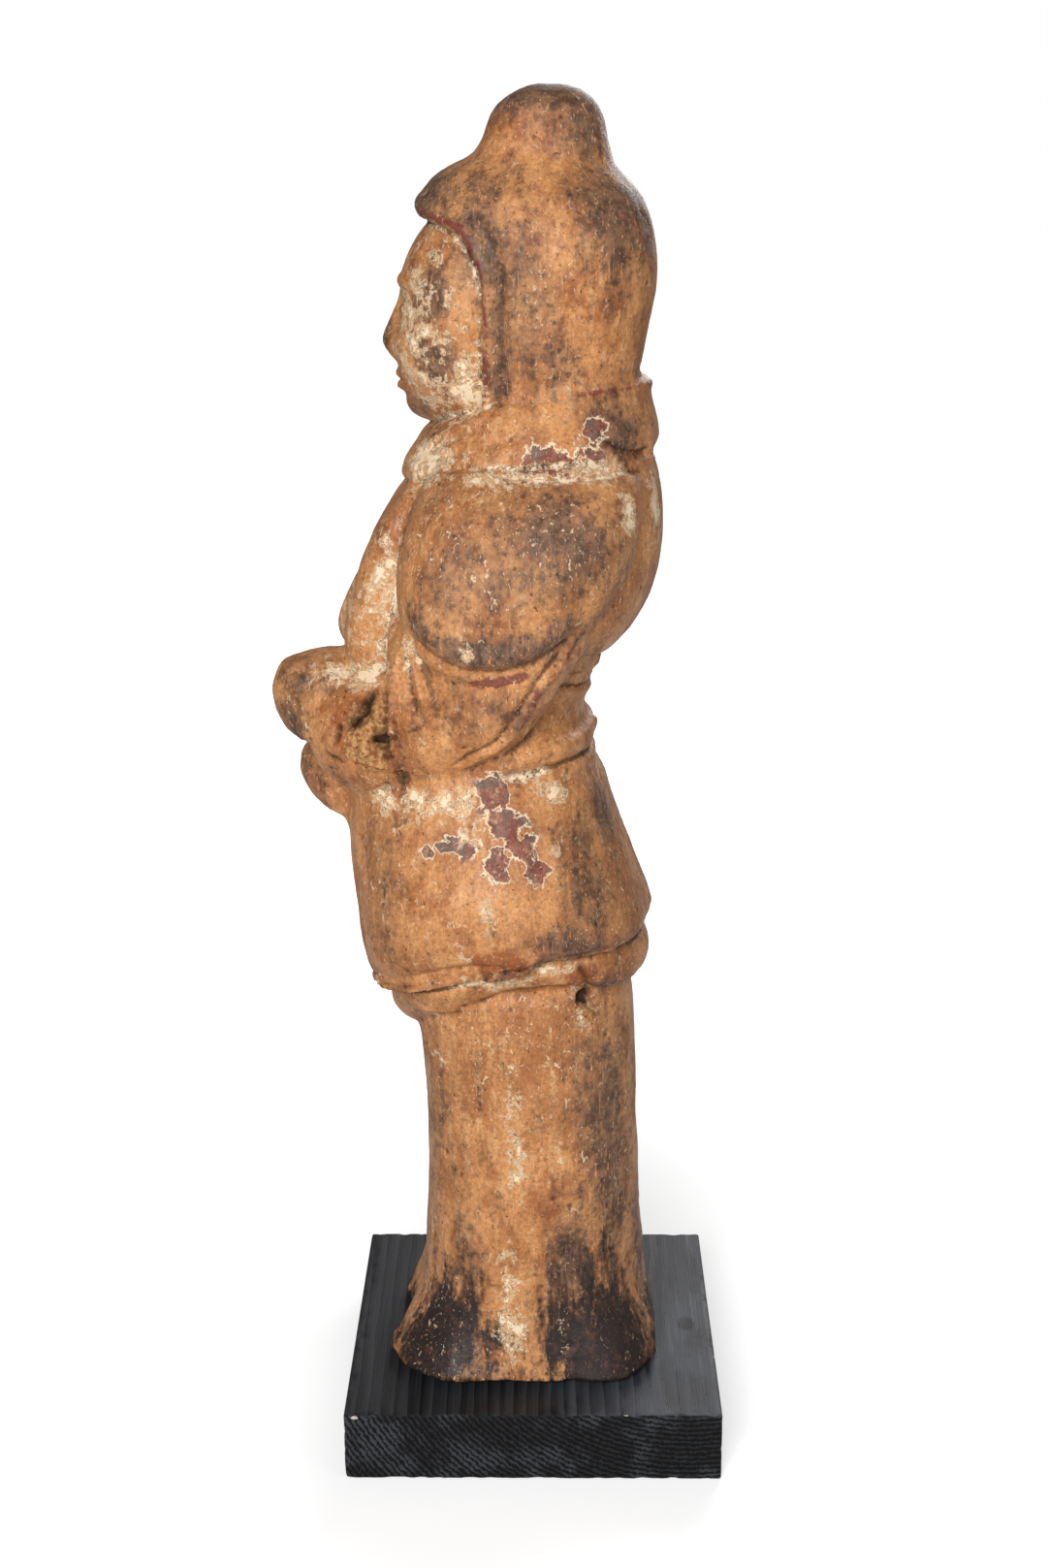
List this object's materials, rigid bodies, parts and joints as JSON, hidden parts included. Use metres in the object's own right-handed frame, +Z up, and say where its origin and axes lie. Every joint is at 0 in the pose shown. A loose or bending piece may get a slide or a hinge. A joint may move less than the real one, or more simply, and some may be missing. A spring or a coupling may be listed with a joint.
{
  "type": "tomb guardian figure",
  "caption": "Standing fired clay tomb guardian in a hood with a knob, a belted coat and a long robe, both fists held before the belt, mounted on a square black wooden block",
  "frame": {"origin": "centre of the wooden block's underside", "axes": "The figure faces -Y, its own left side is +X, and +Z is up"},
  "size_m": [0.196, 0.2302, 0.6923],
  "materials": {
    "fired_clay": "waxed earthenware with worn slip and dark patina",
    "black_wood": "black stained softwood, low sheen"
  },
  "bodies": {
    "root": {"figure": "fired_clay", "wood_block": "black_wood"}
  },
  "joints": []
}
